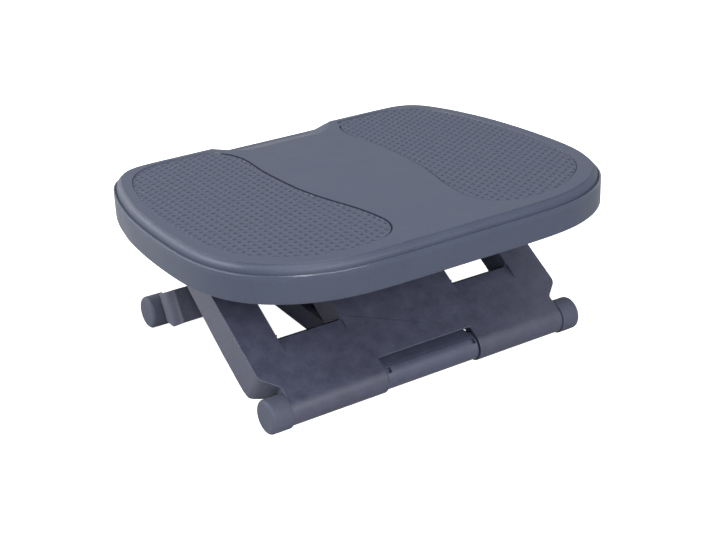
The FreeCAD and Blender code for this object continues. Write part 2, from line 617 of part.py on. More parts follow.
add_loops(sk, [rounded(side)])
pad(car, sk, "rail_pad_right", "dims.rail_thickness")
doc.recompute()
for name, y0, z0, y1, z1, reach in TIES[:1]:
    sk2 = new_sketch(car, name, "YZ_Plane")
    add_loops(sk2, [rect(y0, z0, y1, z1, 2.0)])
    pad(car, sk2, name + "_pad", 2 * reach, midplane=True)
sk = new_sketch(car, "rail_left", "YZ_Plane", -ri - rt)
add_loops(sk, [rounded(side)])
pad(car, sk, "rail_pad_left", "dims.rail_thickness")
for tag, x0 in (("right", inner_in), ("left", -ri - rt)):
    sk = new_sketch(car, "cross_wall_" + tag, "YZ_Plane", x0)
    add_loops(sk, [rect(wall_y, top_z - rh, wall_y + 8, top_z + rh, 2.0)])
    pad(car, sk, "cross_wall_pad_" + tag, ri + rt - inner_in)
for tag, x0 in (("right", inner_in), ("left", -inner_in - rt)):
    sk = new_sketch(car, "toe_rail_" + tag, "YZ_Plane", x0)
    add_loops(sk, [rounded(toe_side)])
    pad(car, sk, "toe_rail_pad_" + tag, "dims.rail_thickness")
for name, y0, z0, y1, z1, reach in TIES[1:]:
    sk2 = new_sketch(car, name, "YZ_Plane")
    add_loops(sk2, [rect(y0, z0, y1, z1, 2.0)])
    pad(car, sk2, name + "_pad", 2 * reach, midplane=True)
v1 = volume(car)
sk = new_sketch(car, "rail_bores", "YZ_Plane")
add_circle(sk, heel, top_z, "sleeve_fit")
pocket(car, sk, "rail_bore_cut", 400.0, midplane=True)
v2 = volume(car)
sk = new_sketch(car, "pivot_bores", "YZ_Plane")
add_circle(sk, ty, tz, "rod_fit")
pocket(car, sk, "pivot_bore_cut", 400.0, midplane=True)
ss = D["sleeve_slot"]
sk = new_sketch(car, "rail_slots", "YZ_Plane")
add_loops(sk, [rect(toe_far - ss, top_z - ss, toe_y + ss, top_z + ss, ss - 0.05)])
pocket(car, sk, "rail_slot_cut", 400.0, midplane=True)
# lightening pocket in the outside of each rail
for tag, x0, rev in (("right", D["rail_in"] + D["rail_thickness"], False), ("left", -D["rail_in"] - D["rail_thickness"], True)):
    sk = new_sketch(car, "rail_panel_" + tag, "YZ_Plane", x0)
    add_loops(sk, [rect(wall_y + 11, top_z - 5.5, ty - 4, top_z + 4.5, 3.0), rect(ty + 4, top_z - 5.5, heel - 12, top_z + 4.5, 3.0)])
    pocket(car, sk, "rail_panel_cut_" + tag, 4.0, reverse=rev)
# the heel and toe ties are channels, open below
for name, y0, z0, y1, z1, reach in TIES:
    cells = (-177, -118, -59, 3, 62, 121) if reach > 160 else (-131, -65, 3, 69)
    wide = 56.0 if reach > 160 else 62.0
    sk = new_sketch(car, name + "_channel", "XY_Plane", z0)
    add_loops(sk, [rect(x0, y0 + 2.2, x0 + wide, y1 - 2.2) for x0 in cells])
    pocket(car, sk, name + "_channel_cut", z1 - z0 - 2.6, reverse=True)
v3 = volume(car)
print("tilt_carrier volumes", [round(v / 1000.0, 1) for v in (v1, v2, v3)], "solids", len(car.Shape.Solids))
keep(car, "tilt_carrier")

# ------------------------------------------------- tilt brackets and pivots
# Drawn in the platform's own frame, whose origin is the tilt axis.
under = D["top_underside"] - D["tilt_axis_height"]
bi, bt = D["bracket_in"], D["bracket_thickness"]
for label, sign in (("tilt_bracket_right", 1), ("tilt_bracket_left", -1)):
    body = doc.addObject("PartDesign::Body", label)
    sk = new_sketch(body, label + "_ear", "YZ_Plane", bi if sign > 0 else -bi - bt)
    add_loops(sk, [rounded([(-20, under - 4.3), (-20, under - 8, 3), (-10, -4, 8), (-6, -10.5, 6), (6, -10.5, 6), (10, -4, 8), (20, under - 8, 3), (20, under - 4.3)])])
    pad(body, sk, label + "_ear_pad", "dims.bracket_thickness")
    sk = new_sketch(body, label + "_foot", "XY_Plane", under - 8.3)
    x0, x1 = (bi, bi + 22) if sign > 0 else (-bi - 22, -bi)
    add_loops(sk, [rect(x0, -20, x1, 20, 2.5)])
    pad(body, sk, label + "_foot_pad", 4.2)
    gx = sign * (bi + bt - 0.5)
    for tag, yy in (("a", 17.6), ("b", -15.4)):
        sk = new_sketch(body, label + "_gusset_" + tag, "XZ_Plane", -yy)
        add_loops(sk, [rounded([(gx, under - 8), (gx + sign * 8, under - 8), (gx, under - 14)])])
        pad(body, sk, label + "_gusset_pad_" + tag, 2.2)
    sk = new_sketch(body, label + "_pivot_hole", "YZ_Plane", bi - 1 if sign > 0 else -bi - bt - 1)
    add_circle(sk, 0, 0, "rod_fit")
    pocket(body, sk, label + "_pivot_cut", bt + 2, reverse=True)
    sk = new_sketch(body, label + "_screw_holes", "XY_Plane", under - 9)
    for yy in (-12.0, 12.0):
        sk.addGeometry(Part.Circle(Vector(sign * 203.0, yy, 0), Vector(0, 0, 1), 1.7), False)
    pocket(body, sk, label + "_screw_cut", 6.0, reverse=True)
    print(label, "solids", len(body.Shape.Solids), round(volume(body) / 1000.0, 2))
    keep(body, label, platform_at)


def turned(label, profile, place):
    """Turned fastener, profile as (along, radius), spun about local Z."""
    face = Part.Face(Part.Wire(Part.makePolygon([Vector(r, 0, a) for a, r in profile + profile[:1]])))
    f = doc.addObject("Part::Feature", label)
    f.Shape = face.revolve(Vector(0, 0, 0), Vector(0, 0, 1), 360)
    f.Placement = place
    return f


rr = D["rod_radius"]
screws = []
for n, (sx, yy) in enumerate(((203, -12), (203, 12), (-203, -12), (-203, 12))):
    prof = [(-2.4, 0), (-2.4, 2.2), (-1.6, 3.1), (0, 3.1), (0, 1.5), (8.0, 1.5), (9.0, 0.6), (9.0, 0)]
    screws.append(turned("bracket_screw_%d" % n, prof, Placement(Vector(sx, yy, under - 8.35), Rotation())))
group("bracket_screws", screws, platform_at)

bolts, washers, nuts = [], [], []
for sign in (1, -1):
    turn = Rotation(Vector(0, 1, 0), 90 if sign > 0 else -90)
    base = D["rail_in"] + D["rail_thickness"]
    # head outside the bracket, shank inwards through washer and rail
    head = bi + bt + 0.05
    prof = [(head + 4.4, 0), (head + 4.4, 5.4), (head + 3.4, 6.6), (head, 6.6), (head, rr), (172.6, rr), (172.0, rr - 0.6), (172.0, 0)]
    bolts.append(turned("tilt_bolt_%s" % ("r" if sign > 0 else "l"), prof, Placement(Vector(0, 0, 0), turn)))
    prof = [(base + 0.05, rr + 0.07), (bi - 0.05, rr + 0.07), (bi - 0.05, 9.5), (base + 0.05, 9.5)]
    washers.append(turned("tilt_washer_%s" % ("r" if sign > 0 else "l"), prof, Placement(Vector(0, 0, 0), turn)))
    hexa = Part.makePolygon([Vector(7.4 * math.cos(math.radians(60 * k)), 7.4 * math.sin(math.radians(60 * k)), 0) for k in range(7)])
    nut = Part.Face(Part.Wire(hexa)).extrude(Vector(0, 0, 5.4)).cut(Part.makeCylinder(rr + 0.02, 8, Vector(0, 0, -1)))
    f = doc.addObject("Part::Feature", "tilt_nut_%s" % ("r" if sign > 0 else "l"))
    f.Shape = nut
    f.Placement = Placement(Vector(sign * 174.2, 0, 0), turn)
    nuts.append(f)
group("tilt_pivot_bolts", bolts, platform_at)
group("tilt_friction_washers", washers, platform_at)
group("tilt_lock_nuts", nuts, platform_at)

# -------------------------------------------------------------------- write
doc.recompute()
for obj in doc.Objects:
    if "Invalid" in obj.State or "Error" in obj.State:
        raise RuntimeError("%s (%s) is %s" % (obj.Name, obj.Label, obj.State))
os.makedirs("parts", exist_ok=True)
box = None
for obj in parts:
    shape = obj.Shape
    if shape.isNull() or not shape.isValid():
        raise RuntimeError("bad shape: " + obj.Label)
    bb = shape.optimalBoundingBox(False)
    box = bb if box is None else box.united(bb)
    print("%-24s solids %d  volume %9.1f mm3  x %7.1f..%7.1f  y %7.1f..%7.1f  z %6.1f..%6.1f" % (
        obj.Label, len(shape.Solids), shape.Volume, bb.XMin, bb.XMax, bb.YMin, bb.YMax, bb.ZMin, bb.ZMax))
print("whole box x %.2f..%.2f y %.2f..%.2f z %.2f..%.2f" % (box.XMin, box.XMax, box.YMin, box.YMax, box.ZMin, box.ZMax))
for obj in parts:
    obj.Shape.exportStep("parts/%s.step" % obj.Label)
print("pieces written:", len(parts))
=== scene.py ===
import math

import bmesh
import bpy
import numpy as np
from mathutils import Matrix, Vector
from mathutils.geometry import delaunay_2d_cdt


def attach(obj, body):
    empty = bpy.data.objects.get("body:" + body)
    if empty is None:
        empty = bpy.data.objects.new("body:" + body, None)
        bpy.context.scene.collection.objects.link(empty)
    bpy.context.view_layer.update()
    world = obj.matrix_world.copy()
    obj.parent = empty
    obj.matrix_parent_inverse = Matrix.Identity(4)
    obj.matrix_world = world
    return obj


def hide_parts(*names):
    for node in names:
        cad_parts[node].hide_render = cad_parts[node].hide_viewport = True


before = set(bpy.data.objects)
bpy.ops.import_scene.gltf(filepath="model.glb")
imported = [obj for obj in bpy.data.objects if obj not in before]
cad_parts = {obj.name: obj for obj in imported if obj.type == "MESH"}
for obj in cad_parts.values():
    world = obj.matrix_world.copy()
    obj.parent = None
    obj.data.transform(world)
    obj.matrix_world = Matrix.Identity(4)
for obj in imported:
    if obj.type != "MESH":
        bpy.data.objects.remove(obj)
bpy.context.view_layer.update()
scene = bpy.context.scene
MM = 0.001


# ------------------------------------------------------------------ helpers
def make_object(name, verts, faces, smooth_angle=35.0):
    """Mesh object from points in millimetres of the row frame."""
    me = bpy.data.meshes.new(name)
    me.from_pydata([tuple(p) for p in (np.asarray(verts, float) * MM).tolist()], [], faces)
    me.validate()
    me.polygons.foreach_set("use_smooth", [True] * len(me.polygons))
    me.set_sharp_from_angle(angle=math.radians(smooth_angle))
    me.update()
    ob = bpy.data.objects.new(name, me)
    scene.collection.objects.link(ob)
    return ob


def dress(ob, mat, body=None, replaces=()):
    ob.data.materials.clear()
    ob.data.materials.append(mat)
    if body:
        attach(ob, body)
    if replaces:
        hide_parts(*replaces)
    return ob


class Builder:
    """Collects vertices and faces of one mesh."""

    def __init__(self):
        self.v = []
        self.n = 0
        self.f = []

    def add(self, pts):
        pts = np.asarray(pts, float).reshape(-1, 3)
        first = self.n
        self.v.append(pts)
        self.n += len(pts)
        return np.arange(first, self.n)

    def strip(self, a, b, flip=False):
        """Quads between two closed rings of the same count."""
        m = len(a)
        for i in range(m):
            j = (i + 1) % m
            q = (int(a[i]), int(a[j]), int(b[j]), int(b[i]))
            self.f.append(q[::-1] if flip else q)

    def points(self):
        return np.concatenate(self.v)


def periodic_spline(points, count):
    """Closed cubic spline through the points, by chord length: positions and unit tangents."""
    p = np.asarray(points, float)
    n = len(p)
    h = np.linalg.norm(np.roll(p, -1, 0) - p, axis=1)
    a = np.zeros((n, n))
    r = np.zeros((n, 2))
    for i in range(n):
        cavity_shade_mix, hp = h[i - 1], h[i]
        a[i, (i - 1) % n] += cavity_shade_mix
        a[i, i] += 2 * (cavity_shade_mix + hp)
        a[i, (i + 1) % n] += hp
        r[i] = 6 * ((p[(i + 1) % n] - p[i]) / hp - (p[i] - p[i - 1]) / cavity_shade_mix)
    m = np.linalg.solve(a, r)
    t = np.concatenate([[0], np.cumsum(h)])
    s = np.linspace(0, t[-1], count, endpoint=False)
    k = np.clip(np.searchsorted(t, s, side="right") - 1, 0, n - 1)
    k2 = (k + 1) % n
    hk = h[k][:, None]
    x = (s - t[k])[:, None]
    pos = (m[k] * (hk - x) ** 3 + m[k2] * x ** 3) / (6 * hk) + (p[k] / hk - m[k] * hk / 6) * (hk - x) + (p[k2] / hk - m[k2] * hk / 6) * x
    tan = (-m[k] * (hk - x) ** 2 + m[k2] * x ** 2) / (2 * hk) - (p[k] / hk - m[k] * hk / 6) + (p[k2] / hk - m[k2] * hk / 6)
    tan /= np.linalg.norm(tan, axis=1)[:, None]
    return pos, tan


def inset_ring(pos, tan, d):
    """Ring moved inwards by d; the ring runs anticlockwise."""
    return np.stack([pos[:, 0] - tan[:, 1] * d, pos[:, 1] + tan[:, 0] * d], 1)


def inside(points, ring):
    """Even-odd test of many points against a closed polygon."""
    x, y = points[:, 0], points[:, 1]
    hit = np.zeros(len(points), bool)
    a = ring
    b = np.roll(ring, -1, 0)
    for (x0, y0), (x1, y1) in zip(a, b):
        if y0 == y1:
            continue
        c = ((y0 > y) != (y1 > y)) & (x < (x1 - x0) * (y - y0) / (y1 - y0) + x0)
        hit ^= c
    return hit


def distance(points, ring):
    """Distance of many points to a closed polyline."""
    best = np.full(len(points), 1e9)
    a = ring
    b = np.roll(ring, -1, 0)
    for p0, p1 in zip(a, b):
        e = p1 - p0
        l2 = float(e @ e) + 1e-12
        t = np.clip(((points - p0) @ e) / l2, 0, 1)
        q = p0 + t[:, None] * e
        d2 = ((points - q) ** 2).sum(1)
        best = np.minimum(best, d2)
    return np.sqrt(best)


def smoothstep(a, b, x):
    t = np.clip((x - a) / (b - a), 0, 1)
    return t * t * (3 - 2 * t)


def triangulate(points2):
    out = delaunay_2d_cdt([Vector(p) for p in points2.tolist()], [], [], 0, 1e-7)
    orig = [o[0] for o in out[3]]
    tri = np.array([[orig[i] for i in f] for f in out[2]], int)
    a, b, c = points2[tri[:, 0]], points2[tri[:, 1]], points2[tri[:, 2]]
    area = (b[:, 0] - a[:, 0]) * (c[:, 1] - a[:, 1]) - (b[:, 1] - a[:, 1]) * (c[:, 0] - a[:, 0])
    tri[area < 0] = tri[area < 0][:, ::-1]
    return tri[np.abs(area) > 1e-6]


# ---------------------------------------------------------------- materials
def node_tree(name):
    mat = bpy.data.materials.new(name)
    mat.use_nodes = True
    nt = mat.node_tree
    bsdf = next(n for n in nt.nodes if n.type == "BSDF_PRINCIPLED")
    return mat, nt, bsdf


def moulded(name, base, rough=0.55, grain=1100.0, grain_depth=0.00005, mottle=0.10, specular=0.5,
            edge=0.0, mottle_scale=22.0, cavity_shade=0.0):
    """Injection-moulded plastic: spark-eroded grain, faint flow mottling, a painted highlight on convex edges and
    painted shade in hollows.
    """
    mat, nt, bsdf = node_tree(name)
    new, link = nt.nodes.new, nt.links.new
    tc = new("ShaderNodeTexCoord")
    big = new("ShaderNodeTexNoise")
    big.inputs["Scale"].default_value = mottle_scale
    big.inputs["Detail"].default_value = 5.0
    big.inputs["Roughness"].default_value = 0.62
    link(tc.outputs["Object"], big.inputs["Vector"])
    fine = new("ShaderNodeTexNoise")
    fine.inputs["Scale"].default_value = grain * 0.42
    fine.inputs["Detail"].default_value = 3.0
    link(tc.outputs["Object"], fine.inputs["Vector"])
    ramp = new("ShaderNodeValToRGB")
    ramp.color_ramp.elements[0].position = 0.30
    ramp.color_ramp.elements[1].position = 0.72
    lo = [c * (1 - mottle) for c in base]
    hi = [min(1.0, c * (1 + mottle)) for c in base]
    ramp.color_ramp.elements[0].color = (lo[0], lo[1], lo[2], 1)
    ramp.color_ramp.elements[1].color = (hi[0], hi[1], hi[2], 1)
    link(big.outputs["Fac"], ramp.inputs["Fac"])
    speck = new("ShaderNodeMapRange")
    speck.inputs["From Min"].default_value = 0.35
    speck.inputs["From Max"].default_value = 0.68
    speck.inputs["To Min"].default_value = 0.93
    speck.inputs["To Max"].default_value = 1.08
    link(fine.outputs["Fac"], speck.inputs["Value"])
    mul = new("ShaderNodeMix")
    mul.data_type = "RGBA"
    mul.blend_type = "MULTIPLY"
    mul.inputs["Factor"].default_value = 1.0
    comb = new("ShaderNodeCombineColor")
    for c in ("Red", "Green", "Blue"):
        link(speck.outputs["Result"], comb.inputs[c])
    link(ramp.outputs["Color"], mul.inputs["A"])
    link(comb.outputs["Color"], mul.inputs["B"])
    colour = mul.outputs["Result"]
    # painted highlight: convex edges, found by pointiness, are lightened towards a brighter copy of the base colour
    if edge > 0:
        geo = new("ShaderNodeNewGeometry")
        edge_highlight_range = new("ShaderNodeMapRange")
        edge_highlight_range.inputs["From Min"].default_value = 0.53
        edge_highlight_range.inputs["From Max"].default_value = 0.62
        edge_highlight_range.inputs["To Min"].default_value = 0.0
        edge_highlight_range.inputs["To Max"].default_value = edge
        link(geo.outputs["Pointiness"], edge_highlight_range.inputs["Value"])
        edge_highlight_mix = new("ShaderNodeMix")
        edge_highlight_mix.data_type = "RGBA"
        edge_highlight_mix.inputs["B"].default_value = (min(1, base[0] * 2.4 + 0.03), min(1, base[1] * 2.4 + 0.03), min(1, base[2] * 2.3 + 0.03), 1)
        link(edge_highlight_range.outputs["Result"], edge_highlight_mix.inputs["Factor"])
        link(colour, edge_highlight_mix.inputs["A"])
        colour = edge_highlight_mix.outputs["Result"]
    # painted shade: hollows, pits and creases, found by pointiness, are darkened towards a fifth of the base colour
    if cavity_shade > 0:
        hollow = new("ShaderNodeNewGeometry")
        hr = new("ShaderNodeMapRange")
        hr.inputs["From Min"].default_value = 0.43
        hr.inputs["From Max"].default_value = 0.495
        hr.inputs["To Min"].default_value = cavity_shade
        hr.inputs["To Max"].default_value = 0.0
        link(hollow.outputs["Pointiness"], hr.inputs["Value"])
        cavity_shade_mix = new("ShaderNodeMix")
        cavity_shade_mix.data_type = "RGBA"
        cavity_shade_mix.inputs["B"].default_value = (base[0] * 0.2, base[1] * 0.2, base[2] * 0.25, 1)
        link(hr.outputs["Result"], cavity_shade_mix.inputs["Factor"])
        link(colour, cavity_shade_mix.inputs["A"])
        colour = cavity_shade_mix.outputs["Result"]
    link(colour, bsdf.inputs["Base Color"])
    rr = new("ShaderNodeMapRange")
    rr.inputs["From Min"].default_value = 0.3
    rr.inputs["From Max"].default_value = 0.7
    rr.inputs["To Min"].default_value = rough - 0.06
    rr.inputs["To Max"].default_value = rough + 0.06
    link(big.outputs["Fac"], rr.inputs["Value"])
    link(rr.outputs["Result"], bsdf.inputs["Roughness"])
    cell = new("ShaderNodeTexVoronoi")
    cell.inputs["Scale"].default_value = grain
    link(tc.outputs["Object"], cell.inputs["Vector"])
    add = new("ShaderNodeMath")
    add.operation = "ADD"
    link(cell.outputs["Distance"], add.inputs[0])
    link(fine.outputs["Fac"], add.inputs[1])
    bump = new("ShaderNodeBump")
    bump.inputs["Strength"].default_value = 1.0
    bump.inputs["Distance"].default_value = grain_depth
    link(add.outputs["Value"], bump.inputs["Height"])
    link(bump.outputs["Normal"], bsdf.inputs["Normal"])
    bsdf.inputs["Specular IOR Level"].default_value = specular
    return mat


def metal(name, base, rough, scale=700.0, metallic=1.0, coat=0.0):
    mat, nt, bsdf = node_tree(name)
    new, link = nt.nodes.new, nt.links.new
    tc = new("ShaderNodeTexCoord")
    mp = new("ShaderNodeMapping")
    mp.inputs["Scale"].default_value = (0.06, 1.0, 1.0)
    link(tc.outputs["Object"], mp.inputs["Vector"])
    noise = new("ShaderNodeTexNoise")
    noise.inputs["Scale"].default_value = scale
    noise.inputs["Detail"].default_value = 4.0
    link(mp.outputs["Vector"], noise.inputs["Vector"])
    ramp = new("ShaderNodeValToRGB")
    ramp.color_ramp.elements[0].position = 0.3
    ramp.color_ramp.elements[1].position = 0.7
    ramp.color_ramp.elements[0].color = tuple(c * 0.86 for c in base) + (1,)
    ramp.color_ramp.elements[1].color = tuple(min(1, c * 1.1) for c in base) + (1,)
    link(noise.outputs["Fac"], ramp.inputs["Fac"])
    link(ramp.outputs["Color"], bsdf.inputs["Base Color"])
    rr = new("ShaderNodeMapRange")
    rr.inputs["To Min"].default_value = rough - 0.07
    rr.inputs["To Max"].default_value = rough + 0.1
    link(noise.outputs["Fac"], rr.inputs["Value"])
    link(rr.outputs["Result"], bsdf.inputs["Roughness"])
    bump = new("ShaderNodeBump")
    bump.inputs["Strength"].default_value = 0.5
    bump.inputs["Distance"].default_value = 0.00002
    link(noise.outputs["Fac"], bump.inputs["Height"])
    link(bump.outputs["Normal"], bsdf.inputs["Normal"])
    bsdf.inputs["Metallic"].default_value = metallic
    bsdf.inputs["Coat Weight"].default_value = coat
    return mat


# platform plastic: strong painted shade in its pits and creases and a faint painted highlight on its edges
top_mat = moulded("platform_plastic_grained", (0.0262, 0.0335, 0.0565), rough=0.50, grain=1500, grain_depth=0.00005, mottle=0.06, specular=0.37, edge=0.05, cavity_shade=0.95)
lip_mat = moulded("platform_lip_burnished", (0.025, 0.0335, 0.057), rough=0.25, grain=1500, grain_depth=0.00001, mottle=0.05, specular=0.55)
# the edge values of these plastics set the painted highlight on their convex edges
leg_mat = moulded("leg_plastic_grained", (0.036, 0.0385, 0.063), rough=0.44, grain=1000, grain_depth=0.00009, mottle=0.18, specular=0.40, edge=0.85, mottle_scale=70.0)
link_mat = moulded("link_plastic_grained", (0.040, 0.0445, 0.073), rough=0.42, grain=1300, grain_depth=0.00006, mottle=0.10, specular=0.42, edge=0.6, mottle_scale=60.0)
cap_mat = moulded("cap_rubber_matte", (0.045, 0.049, 0.074), rough=0.72, grain=1700, grain_depth=0.00004, mottle=0.05, specular=0.3)
# carrier colour is kept darker than the legs as painted shade, so the part that shows under the platform sinks into the
# shade there
carrier_shade_mat = moulded("carrier_plastic_painted_shade", (0.018, 0.020, 0.030), rough=0.55, grain=1200, grain_depth=0.00005, mottle=0.08, specular=0.35, edge=0.15)
nylon_mat = moulded("bush_nylon_smooth", (0.03, 0.03, 0.035), rough=0.38, grain=2200, grain_depth=0.00001, mottle=0.05)
steel_mat = metal("zinc_plated_steel", (0.58, 0.58, 0.6), 0.3)
bracket_mat = metal("black_coated_steel", (0.03, 0.03, 0.035), 0.42, scale=1400, metallic=0.2, coat=0.2)

# ------------------------------------------------------- platform, one piece
TILT = math.radians(3.84)
SHIFT = -3.2
W0 = -14.5


def to_row(u, v, w):
    """From the platform's own u, v, w (w from the skirt's lower edge) to the row frame, millimetres."""
    y = np.asarray(v) + SHIFT
    z = np.asarray(w) + W0
    return np.stack([np.asarray(u) + 0 * y, 3.3 + y * math.cos(TILT) + z * math.sin(TILT),
                     149.5 - y * math.sin(TILT) + z * math.cos(TILT)], -1)


HALF = [
    (0, -175), (30, -175), (60, -174.9), (90, -174.2), (112, -172.5), (133.7, -168.6),
    (149.5, -163.4), (165, -156.3), (179.1, -147.3), (192.4, -135.8), (204, -121.8),
    (213.2, -104.8), (219.5, -86), (223.4, -64), (225, -39), (225, -12), (224.1, 14),
    (221.9, 42), (218.5, 68), (213.5, 91.8), (208, 113.5), (202, 131), (195.6, 145.9),
    (187.4, 158.5), (176.6, 167.5), (162.8, 172.9), (146, 174.7), (120, 175),
    (90, 175), (60, 175), (30, 175), (0, 175),
]
PAD = [
    (76, 156), (74, 149), (69.5, 141), (65.5, 130), (63.5, 118), (63.5, 104), (65, 90),
    (66.5, 74), (67, 56), (67, 38), (66.6, 20), (65.8, 4), (64, -10), (61.8, -24),
    (59, -37), (56, -50), (53, -62), (50.2, -75), (48.2, -89), (47, -102), (47, -114),
    (49.5, -125), (55, -135), (63.5, -143), (76, -148.5), (92, -150.5), (111, -150),
    (130, -146.5), (147, -139.5), (161, -131), (175.5, -119.5), (188, -104), (196.5, -86),
    (202, -64), (205, -38), (206, -8), (205, 20), (202.5, 46), (199, 70), (194, 94),
    (188, 115), (180, 133), (168, 148), (152, 157), (134, 160.5), (112, 161), (92, 160),
]
# lip and shoulder, as (distance in from the skirt, height): a rounded lip on top of
# the skirt, a narrow groove, the sloping shoulder and a small step up to the plateau
LIP = [(1.3 - 1.3 * math.cos(math.radians(a)), 25.2 + 1.3 * math.sin(math.radians(a))) for a in range(0, 141, 14)]
GROOVE = [(2.36, 25.78), (2.52, 25.55), (2.75, 25.46), (2.98, 25.52), (3.14, 25.75), (3.24, 26.1)]


def bezier(p0, p1, p2, n):
    return [tuple((1 - t) ** 2 * a + 2 * t * (1 - t) * c + t * t * e for a, c, e in zip(p0, p1, p2)) for t in [i / n for i in range(n + 1)]]


SHOULDER = bezier((3.35, 26.6), (4.0, 31.9), (7.9, 33.3), 10)
STEP = [(8.0, 33.37), (8.08, 33.48), (8.13, 33.65), (8.18, 33.88), (8.23, 34.1), (8.3, 34.3), (8.41, 34.45), (8.57, 34.55), (8.8, 34.6), (9.2, 34.6), (9.9, 34.6)]
EDGE = [(0.0, 24.4)] + LIP + GROOVE + SHOULDER + STEP
edge_d = np.array([e[0] for e in EDGE])
edge_w = np.array([e[1] for e in EDGE])


def ramp_drop(u, v):
    """Drop of the finger scoop in the heel edge."""
    au = np.abs(u)
    v0 = np.interp(au, [0, 40, 44, 49, 58, 64, 72, 80, 92], [136, 136, 136.7, 139.6, 146, 152.6, 163, 175.5, 196])
    s = np.maximum(v - v0, 0)
    d = s * 0.285
    d = np.where(s < 4, 0.285 * s * s / 8, 0.285 * (s - 2))
    cap = 8.5
    return np.where(d > cap - 1.2, cap - 1.2 + 1.2 * np.tanh((d - cap + 1.2) / 1.2), d)


def height(u, v, d):
    w = np.interp(d, edge_d, edge_w)
    r = 34.6 - ramp_drop(u, v)
    return np.minimum(w, r)


def mirror_closed(half):
    left = [(-x, y) for x, y in half[1:-1]]
    return half + left[::-1]


RING = 720
pos, tan = periodic_spline(mirror_closed(HALF), RING)
b = Builder()
rings = []
skirt = [(2.9, 0.9), (2.75, 0.35), (2.35, 0.06), (1.9, 0.0), (1.25, 0.0), (0.75, 0.08), (0.35, 0.32), (0.1, 0.7), (0.0, 1.3)]
skirt += [(0.0, w) for w in (4, 9, 14, 19, 23)]
for d, w in skirt:
    r2 = inset_ring(pos, tan, d)
    rings.append(b.add(to_row(r2[:, 0], r2[:, 1], np.full(RING, float(w)))))
flat_rings = []
for d, w in EDGE:
    r2 = inset_ring(pos, tan, d)
    rings.append(b.add(to_row(r2[:, 0], r2[:, 1], height(r2[:, 0], r2[:, 1], np.full(RING, d)))))
    flat_rings.append(r2)
for lower, upper in zip(rings, rings[1:]):
    b.strip(lower, upper)
inner2 = flat_rings[-1]
inner_idx = rings[-1]

# foot areas: stepped edge, then a net of low ridges round small pits
PITCH_U, PITCH_V = 7.8, 8.6
PIT_U, PIT_V = 4.5, 2.3
pad_rings = {}
pad_outer_all = []
creases = []
for sign in (1, -1):
    pts = [(sign * x, y) for x, y in PAD]
    if sign > 0:
        pts = pts[::-1]
    p, t = periodic_spline(pts, 420)
    # make the ring anticlockwise
    area = np.sum(p[:, 0] * np.roll(p[:, 1], -1) - np.roll(p[:, 0], -1) * p[:, 1])
    if area < 0:
        p, t = p[::-1], -t[::-1]
    profile = [(-0.9, 34.6), (-0.45, 34.6), (-0.18, 34.52), (0.0, 34.3), (0.14, 33.9), (0.3, 33.5), (0.5, 33.3), (0.72, 33.4), (0.95, 33.68), (1.2, 33.8)]
    idx = []
    for e, w in profile:
        r2 = inset_ring(p, t, e)
        drop = ramp_drop(r2[:, 0], r2[:, 1])
        idx.append(b.add(to_row(r2[:, 0], r2[:, 1], w - drop)))
        if e == -0.9:
            outer2 = r2
        last2 = r2
    for k, (lower, upper) in enumerate(zip(idx, idx[1:])):
        first = len(b.f)
        b.strip(lower, upper)
        if k >= 1:
            creases.append((first, len(b.f)))
    pad_rings[sign] = (outer2, idx[0], last2, idx[-1])

# flat part of the plateau, finer round the finger scoop
grid = []
g = np.stack(np.meshgrid(np.arange(-216, 217, 6.0), np.arange(-168, 169, 6.0)), -1).reshape(-1, 2)
grid.append(g[(np.abs(g[:, 0]) > 96) | (g[:, 1] < 128)])
g = np.stack(np.meshgrid(np.arange(-96, 96.1, 1.6), np.arange(129, 170, 1.4)), -1).reshape(-1, 2)
grid.append(g)
g = np.concatenate(grid)
keep = inside(g, inset_ring(pos, tan, 11.2))
for sign in (1, -1):
    keep &= ~inside(g, inset_ring(*periodic_spline([(sign * x, y) for x, y in (PAD[::-1] if sign > 0 else PAD)], 420)[:2], 0.0))
g = g[keep]
for sign in (1, -1):
    g = g[distance(g, pad_rings[sign][0]) > 1.0]
g = g[distance(g, inner2) > 0.9]
gi = b.add(to_row(g[:, 0], g[:, 1], 34.6 - ramp_drop(g[:, 0], g[:, 1])))
pts2 = np.concatenate([inner2, pad_rings[1][0], pad_rings[-1][0], g])
ids = np.concatenate([inner_idx, pad_rings[1][1], pad_rings[-1][1], gi])
kind = np.concatenate([np.zeros(len(inner2)), np.ones(420), np.full(420, 2), np.full(len(g), 3)]).astype(int)
tri = triangulate(pts2)
k = kind[tri]
c = pts2[tri].mean(1)
drop_mask = (k == 0).all(1) & ~inside(c, inner2)
for val, sign in ((1, 1), (2, -1)):
    drop_mask |= (k == val).all(1) & inside(c, pad_rings[sign][0])
b.f += [tuple(int(x) for x in ids[t]) for t in tri[~drop_mask]]

